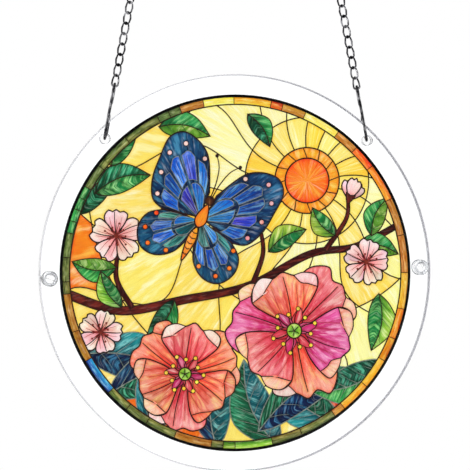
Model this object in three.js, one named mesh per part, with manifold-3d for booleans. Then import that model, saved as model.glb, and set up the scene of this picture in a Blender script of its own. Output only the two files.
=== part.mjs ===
// A round hanging suncatcher: a picture printed on thin film, held between two clear acrylic plates by
// two clear plastic rivets, and hung from a ring by two wire hooks and two lengths of curb chain.
// Millimetres, +Z up. The picture faces -Y. The origin is the top of the hanging ring's eye, where a nail
// or a window hook bears on it.

import * as THREE from "three";
import { mergeVertices } from "three/addons/utils/BufferGeometryUtils.js";
import Module from "manifold-3d";

const wasm = await Module();
wasm.setup();

// Plates and film
const plateDiameter = 150;
const plateThickness = 2;
const holesSetIn = 3.8; // from the plate's edge to the middle of a hole
const rivetShankDiameter = 3.2;
const filmToRivet = 2.2; // from the film's edge to the nearest side of a rivet's shank
const filmDiameter = plateDiameter - 2 * holesSetIn - rivetShankDiameter - 2 * filmToRivet;
const filmThickness = 0.3;
const filmSlack = 0.15; // air on each side of the film

// Rivets
const rivetHoleClearance = 0.4; // on the diameter
const rivetHeadDiameter = 5.9;
const rivetHeadHeight = 1.1;
const rivetRimHeight = 0.5;
const rivetHeadFlare = 1.1; // how far a head slopes in from its rim to its flat crown
const rivetSeatGap = 0.05;
const rivetSlotWidth = 0.7;
const rivetSlotDepth = 0.45;
const rivetSlotLength = 3.6;
const rivetSlotTurn = THREE.MathUtils.degToRad(30);
const rivetTurn = THREE.MathUtils.degToRad(1.6); // the rivets' line against the level

// Chain
const linkCount = 62; // on each side
const linkWire = 0.75;
const linkLength = 5.44; // outside
const linkWidth = 3.3; // outside
const linkTwist = THREE.MathUtils.degToRad(45); // of each end, against the link's middle
const linkShoulder = 0.48; // how much narrower a link's end is than its middle, on each side
const linkBite = 0.04; // how far neighbours are pressed together where they bear
const linkEye = linkWidth - 2 * linkWire;

// Hooks
const hangHoleDiameter = 3.8;
const hangHoleAngle = THREE.MathUtils.degToRad(45); // from the top of the plate
const hookPlay = 0.7; // between the hook's wire and the link's sides, in all
const hookWire = linkEye - hookPlay;
const hookRise = 21; // from the hole's middle to the top bow's centreline
const hookPlateClearance = 0.45;
const hookTopBowRadius = 2.2;
const hookTailLength = 6.2; // straight free end behind the plates
const hookTopTailLength = 5.6;
const hookNeckStart = 0.25; // where the slanting neck starts and ends, from the lower bow to the top one
const hookNeckEnd = 0.85;
const seatClearance = 0.15; // where one wire bears on another

// Hanging ring
const ringPlay = 0.6; // between the ring's wire and the link's sides, in all
const ringWire = linkEye - ringPlay;
const ringEye = 12; // inside diameter

// Facets
const plateSides = 72;
const holeSides = 12;
const rivetSides = 14;
const hookSteps = 20;
const wireSides = 6;
const ringSteps = 26;

// Worked out from the sizes above
const stackHalf = plateThickness + filmSlack + filmThickness / 2;
const holeRing = plateDiameter / 2 - holesSetIn;
const linkReach = (linkLength - linkWire) / 2;
const linkSpread = (linkWidth - linkWire) / 2;
const linkEndSpread = linkSpread - linkShoulder;
const linkPitch = linkLength - 2 * linkWire + linkBite;
const ringRadius = (ringEye + ringWire) / 2;
const hookSeat = (hookWire + linkWire) / 2 + seatClearance;
const ringSeat = (ringWire + linkWire) / 2 + seatClearance;
const firstLinkHeight = hookRise - hookSeat + linkReach;
const lastLinkHeight = firstLinkHeight + (linkCount - 1) * linkPitch;
const chainReach = lastLinkHeight + linkReach - ringSeat; // from a hole's middle to the ring's centreline
const holeX = holeRing * Math.sin(hangHoleAngle);
const lean = Math.asin(holeX / (chainReach + ringRadius));
const ringCentreZ = -ringEye / 2;
const holeZ = ringCentreZ - (chainReach + ringRadius) * Math.cos(lean);
const plateCentreZ = holeZ - holeRing * Math.cos(hangHoleAngle);

const clearAcrylic = new THREE.MeshStandardMaterial({
  color: 0xf4f8fa,
  roughness: 0.05,
  transparent: true,
  opacity: 0.3,
});
const printedFilm = new THREE.MeshStandardMaterial({ color: 0xe8b04a, roughness: 0.35 });
const clearRivet = new THREE.MeshStandardMaterial({
  color: 0xe9edf0,
  roughness: 0.15,
  transparent: true,
  opacity: 0.5,
});
const platedWire = new THREE.MeshStandardMaterial({ color: 0x8d9096, roughness: 0.25, metalness: 1 });

function solidFrom(geometry) {
  const bare = geometry.clone();
  bare.deleteAttribute("normal");
  bare.deleteAttribute("uv");
  const merged = mergeVertices(bare, 1e-4);
  return new wasm.Manifold(
    new wasm.Mesh({
      numProp: 3,
      vertProperties: merged.attributes.position.array,
      triVerts: new Uint32Array(merged.index.array),
    }),
  );
}

function geometryFrom(solid) {
  const mesh = solid.getMesh();
  const geometry = new THREE.BufferGeometry();
  geometry.setAttribute("position", new THREE.BufferAttribute(mesh.vertProperties, 3));
  geometry.setIndex(new THREE.BufferAttribute(mesh.triVerts, 1));
  return geometry;
}

function named(name, geometry, material) {
  const mesh = new THREE.Mesh(geometry, material);
  mesh.name = name;
  return mesh;
}

// A regular polygon about a point, used for a disc's outline, a round hole or a wire's section.
function roundOutline(PathClass, centreX, centreY, radius, sides) {
  const outline = new PathClass();
  const corner = (i) => {
    const angle = (2 * Math.PI * i) / sides;
    return [centreX + radius * Math.cos(angle), centreY + radius * Math.sin(angle)];
  };
  outline.moveTo(...corner(0));
  for (let i = 1; i < sides; i += 1) {
    outline.lineTo(...corner(i));
  }
  outline.closePath();
  return outline;
}

// A flat disc standing upright, its front at frontY and its holes given as [x, z, radius].
function standingDisc(diameter, thickness, frontY, holes) {
  const outline = roundOutline(THREE.Shape, 0, 0, diameter / 2, plateSides);
  for (const [x, z, radius] of holes) {
    outline.holes.push(roundOutline(THREE.Path, x, z, radius, holeSides));
  }
  const disc = new THREE.ExtrudeGeometry(outline, { depth: thickness, bevelEnabled: false });
  disc.rotateX(Math.PI / 2);
  disc.translate(0, frontY + thickness, plateCentreZ);
  return disc;
}

function rivetPlaces() {
  return [-1, 1].map((side) => [
    side * holeRing * Math.cos(rivetTurn),
    side * holeRing * Math.sin(rivetTurn),
  ]);
}

function plateHoles() {
  const holes = rivetPlaces().map(([x, z]) => [x, z, (rivetShankDiameter + rivetHoleClearance) / 2]);
  for (const side of [-1, 1]) {
    holes.push([side * holeX, holeRing * Math.cos(hangHoleAngle), hangHoleDiameter / 2]);
  }
  return holes;
}

function clearPlate(name, frontY) {
  return named(name, standingDisc(plateDiameter, plateThickness, frontY, plateHoles()), clearAcrylic);
}

function pictureFilm() {
  const film = standingDisc(filmDiameter, filmThickness, -filmThickness / 2, []);
  return named("picture_film", film, printedFilm);
}

// A round-headed rivet through both plates, with a driver slot across its front head.
function rivet(name, [x, z]) {
  const seat = stackHalf + rivetSeatGap;
  const crown = seat + rivetHeadHeight;
  const rim = seat + rivetRimHeight;
  const headRadius = rivetHeadDiameter / 2;
  const crownRadius = headRadius - rivetHeadFlare;
  const shankRadius = rivetShankDiameter / 2;
  const profile = [
    [0, -crown],
    [crownRadius, -crown],
    [headRadius, -rim],
    [headRadius, -seat],
    [shankRadius, -seat],
    [shankRadius, seat],
    [headRadius, seat],
    [headRadius, rim],
    [crownRadius, crown],
    [0, crown],
  ].map(([radius, y]) => new THREE.Vector2(radius, y));
  const body = solidFrom(new THREE.LatheGeometry(profile, rivetSides));
  const slot = new THREE.BoxGeometry(rivetSlotLength, 2 * rivetSlotDepth, rivetSlotWidth);
  slot.rotateY(rivetSlotTurn);
  slot.translate(0, -crown, 0);
  const geometry = geometryFrom(body.subtract(solidFrom(slot)));
  geometry.translate(x, 0, plateCentreZ + z);
  return named(name, geometry, clearRivet);
}

// A wire hook in its own plane: Y across the plates and Z up the chain, from the hole's middle. Its lower
// bow runs through the hole and under its top edge, its long shank rises in front of the plates, its top
// bow carries the chain, and both free ends point at each other behind.
function wireHook(name) {
  const wireRadius = hookWire / 2;
  const lowerBowRadius = stackHalf + hookPlateClearance + wireRadius;
  const bowRise = lowerBowRadius - Math.sqrt(lowerBowRadius ** 2 - stackHalf ** 2);
  const slantedHalf = wireRadius / Math.cos(Math.asin(stackHalf / lowerBowRadius));
  const lowest = hangHoleDiameter / 2 - seatClearance - bowRise - slantedHalf;
  const lowerBowZ = lowest + lowerBowRadius;
  const topBowZ = hookRise - hookTopBowRadius;
  const neckLow = THREE.MathUtils.lerp(lowerBowZ, topBowZ, hookNeckStart);
  const neckHigh = THREE.MathUtils.lerp(lowerBowZ, topBowZ, hookNeckEnd);
  const neckMiddle = (neckLow + neckHigh) / 2;

  const flat = new THREE.Path();
  flat.moveTo(lowerBowRadius, lowerBowZ + hookTailLength);
  flat.lineTo(lowerBowRadius, lowerBowZ);
  flat.absarc(0, lowerBowZ, lowerBowRadius, 0, Math.PI, true);
  flat.lineTo(-lowerBowRadius, neckLow);
  flat.bezierCurveTo(
    -lowerBowRadius, neckMiddle,
    -hookTopBowRadius, neckMiddle,
    -hookTopBowRadius, neckHigh,
  );
  flat.lineTo(-hookTopBowRadius, topBowZ);
  flat.absarc(0, topBowZ, hookTopBowRadius, Math.PI, 0, true);
  flat.lineTo(hookTopBowRadius, topBowZ - hookTopTailLength);

  const places = flat.getSpacedPoints(hookSteps);
  const route = new THREE.CatmullRomCurve3(places.map((p) => new THREE.Vector3(0, p.x, p.y)));
  const section = roundOutline(THREE.Shape, 0, 0, wireRadius, wireSides);
  const wire = new THREE.ExtrudeGeometry(section, {
    steps: hookSteps,
    extrudePath: route,
    bevelEnabled: false,
  });
  return named(name, wire, platedWire);
}

// One link of wire, long axis Z, lying in XZ where its twist is 0. The wire has four sides, with an
// edge of the section facing the link's middle, so that neighbours meet edge to edge.
function chainLink(lowTwist, highTwist) {
  const wireRadius = linkWire / 2;
  const corners = [
    [linkEndSpread, -linkReach],
    [linkSpread, 0],
    [linkEndSpread, linkReach],
    [-linkEndSpread, linkReach],
    [-linkSpread, 0],
    [-linkEndSpread, -linkReach],
  ];
  const twistAt = (z) => THREE.MathUtils.mapLinear(z, -linkReach, linkReach, lowTwist, highTwist);
  const centres = corners.map(([side, z]) => {
    return new THREE.Vector3(side * Math.cos(twistAt(z)), side * Math.sin(twistAt(z)), z);
  });

  const positions = [];
  const indices = [];
  centres.forEach((here, step) => {
    const next = (step + 1) % centres.length;
    const before = (step + centres.length - 1) % centres.length;
    const arriving = here.clone().sub(centres[before]).normalize();
    const leaving = centres[next].clone().sub(here).normalize();
    const along = arriving.clone().add(leaving).normalize();
    const mitre = 1 / along.dot(leaving);
    const twist = twistAt(here.z);
    const across = new THREE.Vector3(-Math.sin(twist), Math.cos(twist), 0);
    const outward = new THREE.Vector3().crossVectors(across, along).normalize();
    for (const [out, over] of [[mitre, 0], [0, 1], [-mitre, 0], [0, -1]]) {
      const corner = here.clone();
      corner.addScaledVector(outward, out * wireRadius);
      corner.addScaledVector(across, over * wireRadius);
      positions.push(corner.x, corner.y, corner.z);
    }
    for (let side = 0; side < 4; side += 1) {
      const other = (side + 1) % 4;
      const [a, b] = [4 * step + side, 4 * step + other];
      const [c, d] = [4 * next + other, 4 * next + side];
      indices.push(a, b, c, a, c, d);
    }
  });
  const link = new THREE.BufferGeometry();
  link.setAttribute("position", new THREE.Float32BufferAttribute(positions, 3));
  link.setIndex(indices);
  return link;
}

// A curb chain: every link carries the same twist, so each lies square to the next where they bear.
// The lowest link lies flat where the hook holds it, and the last stands square to the ring's wire.
function curbChain(name) {
  const lowest = solidFrom(chainLink(0, linkTwist));
  const usual = solidFrom(chainLink(-linkTwist, linkTwist));
  const last = solidFrom(chainLink(Math.PI - linkTwist, Math.PI / 2));
  const links = [];
  for (let i = 0; i < linkCount; i += 1) {
    let link = usual;
    if (i === 0) {
      link = lowest;
    } else if (i === linkCount - 1) {
      link = last;
    }
    links.push(link.translate(0, 0, firstLinkHeight + i * linkPitch));
  }
  return named(name, geometryFrom(wasm.Manifold.union(links)), platedWire);
}

// The hook and chain of one side, leaning from the plate's hole towards the ring.
function hangingSide(side, word) {
  const group = new THREE.Group();
  group.position.set(side * holeX, 0, holeZ);
  group.rotation.y = -side * lean;
  group.add(wireHook(`wire_hook_${word}`), curbChain(`chain_${word}`));
  return group;
}

function hangingRing() {
  const ring = new THREE.TorusGeometry(ringRadius, ringWire / 2, wireSides, ringSteps);
  ring.rotateX(Math.PI / 2);
  ring.translate(0, 0, ringCentreZ);
  return named("hanging_ring", ring, platedWire);
}

const suncatcher = new THREE.Group();
const [leftRivet, rightRivet] = rivetPlaces();
suncatcher.add(
  clearPlate("front_plate", -stackHalf),
  clearPlate("back_plate", stackHalf - plateThickness),
  pictureFilm(),
  rivet("rivet_left", leftRivet),
  rivet("rivet_right", rightRivet),
  hangingSide(-1, "left"),
  hangingSide(1, "right"),
  hangingRing(),
);

export default suncatcher;
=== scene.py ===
import math
import random

import bpy
import numpy as np
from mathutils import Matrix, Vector
from mathutils.geometry import delaunay_2d_cdt
from mathutils.kdtree import KDTree


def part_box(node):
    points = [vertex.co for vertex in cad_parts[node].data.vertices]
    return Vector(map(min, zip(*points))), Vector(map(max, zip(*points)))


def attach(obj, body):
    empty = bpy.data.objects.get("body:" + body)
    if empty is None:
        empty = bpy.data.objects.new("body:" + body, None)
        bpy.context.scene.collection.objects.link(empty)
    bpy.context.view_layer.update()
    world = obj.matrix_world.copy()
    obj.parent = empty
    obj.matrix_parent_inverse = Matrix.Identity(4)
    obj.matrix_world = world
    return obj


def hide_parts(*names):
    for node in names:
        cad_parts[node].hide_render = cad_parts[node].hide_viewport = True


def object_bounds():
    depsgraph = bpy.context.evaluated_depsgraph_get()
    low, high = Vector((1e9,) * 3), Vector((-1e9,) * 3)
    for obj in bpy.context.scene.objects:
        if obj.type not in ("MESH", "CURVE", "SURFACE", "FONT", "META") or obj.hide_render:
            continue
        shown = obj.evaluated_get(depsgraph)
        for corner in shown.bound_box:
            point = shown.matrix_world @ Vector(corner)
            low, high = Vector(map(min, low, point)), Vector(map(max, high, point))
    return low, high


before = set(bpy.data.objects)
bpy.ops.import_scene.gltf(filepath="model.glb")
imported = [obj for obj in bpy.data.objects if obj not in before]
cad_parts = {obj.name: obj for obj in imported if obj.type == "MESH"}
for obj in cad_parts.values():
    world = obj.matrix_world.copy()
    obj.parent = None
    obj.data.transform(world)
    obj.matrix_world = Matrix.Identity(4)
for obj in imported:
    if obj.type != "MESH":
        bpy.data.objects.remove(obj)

mm = 0.001
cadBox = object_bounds()


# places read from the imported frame

def middle(node):
    low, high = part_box(node)
    return (low + high) / 2


plateLow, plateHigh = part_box("front_plate")
filmLow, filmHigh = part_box("picture_film")
discCentre = Vector((0, 0, middle("front_plate").z))
plateRadius = (plateHigh.x - plateLow.x) / 2
filmRadius = (filmHigh.x - filmLow.x) / 2
rivetCentres = {side: middle("rivet_" + side) for side in ("left", "right")}
holeRing = (Vector((rivetCentres["right"].x, 0, rivetCentres["right"].z)) - discCentre).length
hangHoleAngle = math.radians(45)  # from the top of the plate
ringCentre = Vector((0, 0, middle("hanging_ring").z))


def holePlace(side):
    across = holeRing * math.sin(hangHoleAngle)
    return discCentre + Vector((side * across, 0, holeRing * math.cos(hangHoleAngle)))


# small helpers for modelling

def selectNothing():
    bpy.ops.object.select_all(action="DESELECT")


def selectOnly(obj):
    selectNothing()
    obj.select_set(True)
    bpy.context.view_layer.objects.active = obj


def addObject(name, data):
    obj = bpy.data.objects.new(name, data)
    bpy.context.scene.collection.objects.link(obj)
    return obj


def editAll(obj):
    selectOnly(obj)
    bpy.ops.object.mode_set(mode="EDIT")
    bpy.ops.mesh.select_all(action="SELECT")


def applyAll(obj):
    selectOnly(obj)
    for modifier in list(obj.modifiers):
        bpy.ops.object.modifier_apply(modifier=modifier.name)
    bpy.ops.object.transform_apply(location=True, rotation=True, scale=True)


def smooth(obj, angle):
    selectOnly(obj)
    bpy.ops.object.shade_smooth_by_angle(angle=math.radians(angle))


def roundCorners(obj, width, steps, sharp):
    # rounds every edge that turns by more than the angle, in degrees
    edge = obj.modifiers.new("round", "BEVEL")
    edge.width = width
    edge.segments = steps
    edge.limit_method = "ANGLE"
    edge.angle_limit = math.radians(sharp)
    applyAll(obj)


def cutWith(obj, cutter):
    selectOnly(obj)
    modifier = obj.modifiers.new("cut", "BOOLEAN")
    modifier.operation = "DIFFERENCE"
    modifier.solver = "EXACT"
    modifier.object = cutter
    bpy.ops.object.modifier_apply(modifier=modifier.name)
    bpy.data.objects.remove(cutter)


def finishPiece(obj, node, slot, *materials):
    # gives a piece its materials, hangs it under the root body and hides the solid it stands for
    obj.data.materials.clear()
    for material in materials:
        obj.data.materials.append(material)
    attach(obj, "root")
    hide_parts(node)


# camera: the photograph looks at the disc from a little to its left, level with it

camera = {
    "azimuth": math.radians(-10.6),
    "distance": 1.0,
    "framePixels": 470,
    "pixel": 0.378 * mm,  # one pixel of the photograph, at the disc
    "discPixel": (236.8, 272.9),  # where the middle of the disc shows
    "sensor": 36.0,
    "sight": (0.05, 50),  # nearest and farthest
}


def makeCamera():
    data = bpy.data.cameras.new("camera")
    data.sensor_width = camera["sensor"]
    width = camera["framePixels"] * camera["pixel"]
    data.lens = camera["sensor"] * camera["distance"] / width
    data.clip_start, data.clip_end = camera["sight"]
    body = addObject("camera", data)
    turn = camera["azimuth"]
    right = Vector((math.cos(turn), math.sin(turn), 0))
    offX, offZ = ((camera["framePixels"] / 2 - pixel) * camera["pixel"] for pixel in camera["discPixel"])
    target = discCentre + right * offX - Vector((0, 0, offZ))
    back = Vector((math.sin(turn), -math.cos(turn), 0))
    body.location = target + back * camera["distance"]
    body.rotation_euler = (math.pi / 2, 0, turn)
    bpy.context.scene.camera = body


makeCamera()
print("camera placed")


# shader nodes: an input takes a value, or the output that it is joined to

def setInputs(tree, node, inputs):
    for name, value in inputs.items():
        if isinstance(value, bpy.types.NodeSocket):
            tree.links.new(value, node.inputs[name])
        else:
            node.inputs[name].default_value = value


def addNode(tree, kind, inputs, output=0, **settings):
    # gives back one output of the new node
    node = tree.nodes.new("ShaderNode" + kind)
    for name, value in settings.items():
        setattr(node, name, value)
    setInputs(tree, node, inputs)
    return node.outputs[output]


def calculate(tree, operation, *values):
    return addNode(tree, "Math", dict(enumerate(values)), operation=operation)


def spread(tree, value, low, high, bottom=0.0, top=1.0):
    # rises smoothly from bottom to top while the value goes from low to high
    ends = {"From Min": low, "From Max": high, "To Min": bottom, "To Max": top}
    return addNode(tree, "MapRange", {"Value": value, **ends}, interpolation_type="SMOOTHSTEP")


def blend(tree, share, under, over, mode="MIX"):
    # a Mix node's inputs 6 and 7 are its two colours, and its output 2 is the result's colour
    return addNode(tree, "Mix", {0: share, 6: under, 7: over}, 2, data_type="RGBA", blend_type=mode)


def newMaterial(name, values):
    material = bpy.data.materials.new(name)
    material.use_nodes = True
    shader = material.node_tree.nodes["Principled BSDF"]
    setInputs(material.node_tree, shader, values)
    return material, material.node_tree, shader


def newGroup(name, inputs, outputs):
    # the sockets are given as the names of each kind
    group = bpy.data.node_groups.new(name, "ShaderNodeTree")
    for way, kinds in (("INPUT", inputs), ("OUTPUT", outputs)):
        for kind, names in kinds.items():
            for socket in names.split():
                group.interface.new_socket(socket, in_out=way, socket_type="NodeSocket" + kind)
    return group, group.nodes.new("NodeGroupInput").outputs, group.nodes.new("NodeGroupOutput")


def mottleGroup():
    # clouds of noise, given out as a blend of two colours, a roughness and a bumpy normal
    group, entry, leave = newGroup("mottle", {
        "Vector": "Place", "Color": "Under Over", "Float": "Scale Detail Start Full First Last Bump Height",
    }, {"Color": "Colour", "Float": "Roughness", "Vector": "Normal"})
    noise = {"Vector": entry["Place"], "Scale": entry["Scale"], "Detail": entry["Detail"]}
    cloud = addNode(group, "TexNoise", noise)
    ends = {"From Min": entry["Start"], "From Max": entry["Full"]}
    share = addNode(group, "MapRange", {"Value": cloud, **ends})
    rough = addNode(group, "MapRange", {"Value": cloud, "To Min": entry["First"], "To Max": entry["Last"]})
    bump = addNode(group, "Bump", {"Height": cloud, "Strength": entry["Bump"], "Distance": entry["Height"]})
    colour = blend(group, share, entry["Under"], entry["Over"])
    setInputs(group, leave, {"Colour": colour, "Roughness": rough, "Normal": bump})
    return group


mottle = mottleGroup()


def mottledMaterial(name, clouds, values):
    # the colour, roughness or bump that the clouds name varies with them, and the rest are plain values
    material, tree, shader = newMaterial(name, values)
    place = addNode(tree, "TexCoord", {}, "Object")
    mottled = addNode(tree, "Group", {"Place": place, **clouds}, node_tree=mottle).node.outputs
    if "Over" in clouds:
        setInputs(tree, shader, {"Base Color": mottled["Colour"]})
    if "Last" in clouds:
        setInputs(tree, shader, {"Roughness": mottled["Roughness"]})
    if "Bump" in clouds:
        setInputs(tree, shader, {"Normal": mottled["Normal"]})
    return material


def linear(rgb):
    # screen colour 0-255 to the shader's linear values
    share = np.asarray(rgb, float) / 255
    return np.where(share <= 0.04045, share / 12.92, ((share + 0.055) / 1.055) ** 2.4)


# materials of the plates, rivets and wires; a mottled one names the inputs of its clouds

acrylic = {
    "ior": 1.49,
    "tint": (0.992, 0.996, 0.998),
    "cutShadeTint": (0.48, 0.48, 0.51),  # of the rounded corners: grey painted shade for the dark line along the rim, while the saw's haze is in their roughness
    "cutClear": 0.75,  # the share of light a corner lets through
    "haze": {"Scale": 260, "Detail": 2, "First": 0.06, "Last": 0.2},
}
rivetPlastic = {
    "ior": 1.5,
    "tint": (0.94, 0.95, 0.96),
    "grain": {"Scale": 900, "Detail": 3, "First": 0.04, "Last": 0.22, "Bump": 0.25, "Height": 0.05 * mm},
}
# the wires' plating is dark, with bright patches painted in as highlights
platingGlints = {
    "Under": (0.035, 0.035, 0.04, 1),  # dark for the most part
    "Over": (0.74, 0.74, 0.77, 1),  # painted highlights: bright patches scattered by the clouds
    "Scale": 320, "Detail": 4, "Start": 0.48, "Full": 0.74, "First": 0.13, "Last": 0.05,
}


def clear(tint, ior, share=1.0):
    return {"Base Color": (*tint, 1), "Roughness": 0.0, "IOR": ior, "Transmission Weight": share}


clearAcrylic = newMaterial("clearAcrylic", clear(acrylic["tint"], acrylic["ior"]))[0]
# the rounded corners' material: a grey tint as painted shade for the rim line, and clouds of hazy roughness
cutValues = clear(acrylic["cutShadeTint"], acrylic["ior"], acrylic["cutClear"])
cutEdgeShade = mottledMaterial("cutEdgeShade", acrylic["haze"], cutValues)
rivetValues = clear(rivetPlastic["tint"], rivetPlastic["ior"])
clearRivet = mottledMaterial("clearRivet", rivetPlastic["grain"], rivetValues)
glintedPlatedWire = mottledMaterial("glintedPlatedWire", platingGlints, {"Metallic": 1.0})


# plates: two polished discs, each with two rivet holes and two hanging holes

plate = {
    "sides": 288,
    "holeSides": 48,
    "polish": 0.4 * mm,  # the rounding of the rim
    "holePolish": 0.2 * mm,
    "polishSteps": 3,
    "sharp": 50,  # degrees, the least turn of an edge that is rounded
    "flatNormal": 0.9999,  # how squarely a flat face looks to the front or back
    "wallNormal": 0.1,  # how far a face may lean and still belong to a wall
    "smoothBelow": 20,  # degrees, so that the flat faces stay flat beside the rounding
    "hangHole": 3.8 * mm,
    "rivetHole": 3.6 * mm,
}


def makePlate(name, node):
    low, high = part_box(node)
    selectNothing()
    bpy.ops.mesh.primitive_circle_add(
        vertices=plate["sides"], radius=plateRadius, fill_type="NGON",
        location=(0, high.y, discCentre.z), rotation=(math.pi / 2, 0, 0),
    )
    disc = bpy.context.object
    disc.name = name
    applyAll(disc)
    editAll(disc)
    bpy.ops.mesh.extrude_region_move(TRANSFORM_OT_translate={"value": (0, low.y - high.y, 0)})
    bpy.ops.mesh.select_all(action="SELECT")
    bpy.ops.mesh.normals_make_consistent(inside=False)
    bpy.ops.object.mode_set(mode="OBJECT")
    roundCorners(disc, plate["polish"], plate["polishSteps"], plate["sharp"])
    holes = [(holePlace(side), plate["hangHole"]) for side in (-1, 1)]
    holes += [(centre, plate["rivetHole"]) for centre in rivetCentres.values()]
    for centre, diameter in holes:
        selectNothing()
        bpy.ops.mesh.primitive_cylinder_add(
            vertices=plate["holeSides"], radius=diameter / 2, depth=4 * (high.y - low.y),
            location=(centre.x, (low.y + high.y) / 2, centre.z), rotation=(math.pi / 2, 0, 0),
        )
        cutWith(disc, bpy.context.object)
    roundCorners(disc, plate["holePolish"], plate["polishSteps"], plate["sharp"])
    smooth(disc, plate["smoothBelow"])
    finishPiece(disc, node, "clear_acrylic", clearAcrylic, cutEdgeShade)
    for polygon in disc.data.polygons:
        lean = abs(polygon.normal.y)
        if lean > plate["flatNormal"]:
            polygon.use_smooth = False
        elif lean > plate["wallNormal"]:
            # faces that lean, the rounded corners, take the grey painted shade
            polygon.material_index = 1


makePlate("frontPlate", "front_plate")
makePlate("backPlate", "back_plate")
print("plates made")


# rivets: a shank with two domed heads, a raised rim and a driver slot

rivet = {
    "headRadius": 2.95 * mm,
    "shankRadius": 1.6 * mm,
    "seat": 2.35 * mm,  # from the film's middle to the underside of a head
    "rim": 2.8 * mm,
    "crown": 3.4 * mm,
    "groove": 0.12 * mm,
    "sides": 48,
    "slotWidth": 0.6 * mm,
    "slotDepth": 0.45 * mm,
    "slotLength": 3.4 * mm,
    "slotTurn": {"left": math.radians(30), "right": math.radians(52)},
    "merge": 0.002 * mm,  # points closer than this become one
    "softened": (0.06 * mm, 2, 45),  # width, steps and least turn in degrees of the rounded edges
}


def makeRivet(side):
    head, crown, rim, seat = (rivet[name] for name in ("headRadius", "crown", "rim", "seat"))
    half = [
        (0, crown), (0.35 * head, crown - 0.03 * mm), (0.62 * head, crown - 0.14 * mm),
        (0.72 * head, crown - 0.14 * mm - rivet["groove"]), (0.80 * head, crown - 0.16 * mm),
        (0.93 * head, rim + 0.18 * mm), (head, rim - 0.12 * mm), (0.99 * head, seat),
        (rivet["shankRadius"], seat),
    ]
    outline = half + [(x, -y) for x, y in reversed(half)]
    mesh = bpy.data.meshes.new("rivet")
    mesh.from_pydata(
        [(x, y, 0) for x, y in outline], [(i, i + 1) for i in range(len(outline) - 1)], [],
    )
    body = addObject("rivet" + side.capitalize(), mesh)
    editAll(body)
    bpy.ops.mesh.spin(steps=rivet["sides"], angle=2 * math.pi, center=(0, 0, 0), axis=(0, 1, 0))
    bpy.ops.mesh.select_all(action="SELECT")
    bpy.ops.mesh.remove_doubles(threshold=rivet["merge"])
    bpy.ops.mesh.normals_make_consistent(inside=False)
    bpy.ops.object.mode_set(mode="OBJECT")
    for front in (-1, 1):
        selectNothing()
        bpy.ops.mesh.primitive_cube_add(
            size=1, location=(0, front * crown, 0), rotation=(0, rivet["slotTurn"][side], 0),
            scale=(rivet["slotLength"], 2 * rivet["slotDepth"], rivet["slotWidth"]),
        )
        cutWith(body, bpy.context.object)
    roundCorners(body, *rivet["softened"])
    body.location = rivetCentres[side]
    applyAll(body)
    smooth(body, 35)
    finishPiece(body, "rivet_" + side, "clear_rivet", clearRivet)


for side in ("left", "right"):
    makeRivet(side)
print("rivets made")


# hooks and chains hang in a frame of their own: origin in the hole's middle, Z up the chain

hook = {
    "wire": 1.1 * mm,
    "lowerBow": 3.3 * mm,
    "lowest": 0.05 * mm,  # the lower bow's lowest point on its centreline
    "topBow": 2.2 * mm,
    "rise": 21 * mm,
    "tail": 6.2 * mm,
    "topTail": 5.6 * mm,
    "neck": (0.25, 0.85),
    "endSteps": 8,
    "lowerSteps": 24,
    "topSteps": 20,
    "endRadii": (0.55, 0.9),  # shares of the wire's radius at the rounded ends
    "sides": 16,
    "turn": camera["azimuth"],  # it hangs a little turned, so that its legs line up as in the photograph
}
chain = {
    "count": 62,
    "wire": 0.75 * mm,
    "length": 5.44 * mm,
    "width": 3.3 * mm,
    "pitch": 3.98 * mm,
    "seat": 0.15 * mm,
    "twist": math.radians(90),
    "drift": math.radians(-14),  # how far the twist has wandered halfway along
    "steps": 16,
    "sides": 6,
}
ring = {"wire": 1.2 * mm, "eye": 12 * mm, "steps": 96, "sides": 20}
linkReach = (chain["length"] - chain["wire"]) / 2  # from a link's middle to the wire's at its end


def leaning(obj, side):
    # turns a piece made upright round the hole's middle until it leans at the ring
    hole = holePlace(side)
    lean = math.atan2(-side * (ringCentre - hole).x, (ringCentre - hole).z)
    obj.rotation_euler = (0, -side * lean, 0)
    obj.location = hole
    applyAll(obj)


def hookRoute():
    # free end behind the plates, bow under them, long shank in front, bow over the chain, free end behind
    low, top, ends = hook["lowerBow"], hook["topBow"], hook["endSteps"]
    lowZ = hook["lowest"] + low
    topZ = hook["rise"] - top
    neckLow, neckHigh = (lowZ + share * (topZ - lowZ) for share in hook["neck"])
    route = [(low, lowZ + hook["tail"] * (1 - i / ends)) for i in range(ends)]
    for i in range(hook["lowerSteps"] + 1):
        turn = math.pi * i / hook["lowerSteps"]
        route.append((low * math.cos(turn), lowZ - low * math.sin(turn)))
    for i in range(hook["lowerSteps"] + 1):
        t = i / hook["lowerSteps"]
        share = t * t * (3 - 2 * t)
        climb = 1.5 * t * (1 - t) + t ** 3
        route.append((-low * (1 - share) - top * share, neckLow * (1 - climb) + neckHigh * climb))
    route.append((-top, topZ))
    for i in range(1, hook["topSteps"] + 1):
        turn = math.pi * (1 - i / hook["topSteps"])
        route.append((top * math.cos(turn), topZ + top * math.sin(turn)))
    route += [(top, topZ - hook["topTail"] * i / ends) for i in range(1, ends + 1)]
    return [(0, y, z) for y, z in route]


def makeHook(side, word):
    selectNothing()
    bpy.ops.curve.primitive_nurbs_path_add()
    wire = bpy.context.object
    wire.name = "wireHook" + word.capitalize()
    wire.data.splines.clear()
    route = hookRoute()
    spline = wire.data.splines.new("POLY")
    spline.points.add(len(route) - 1)
    for point, place in zip(spline.points, route):
        point.co = (*place, 1)
    for i, share in enumerate(hook["endRadii"]):
        spline.points[i].radius = spline.points[-1 - i].radius = share
    wire.data.dimensions = "3D"
    wire.data.bevel_depth = hook["wire"] / 2
    wire.data.bevel_resolution = hook["sides"] // 4 - 1
    wire.data.use_fill_caps = True
    selectOnly(wire)
    bpy.ops.object.convert(target="MESH")
    wire.rotation_euler = (0, 0, hook["turn"])
    applyAll(wire)
    leaning(wire, side)
    smooth(wire, 60)
    finishPiece(wire, "wire_hook_" + word, "plated_wire", glintedPlatedWire)


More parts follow.
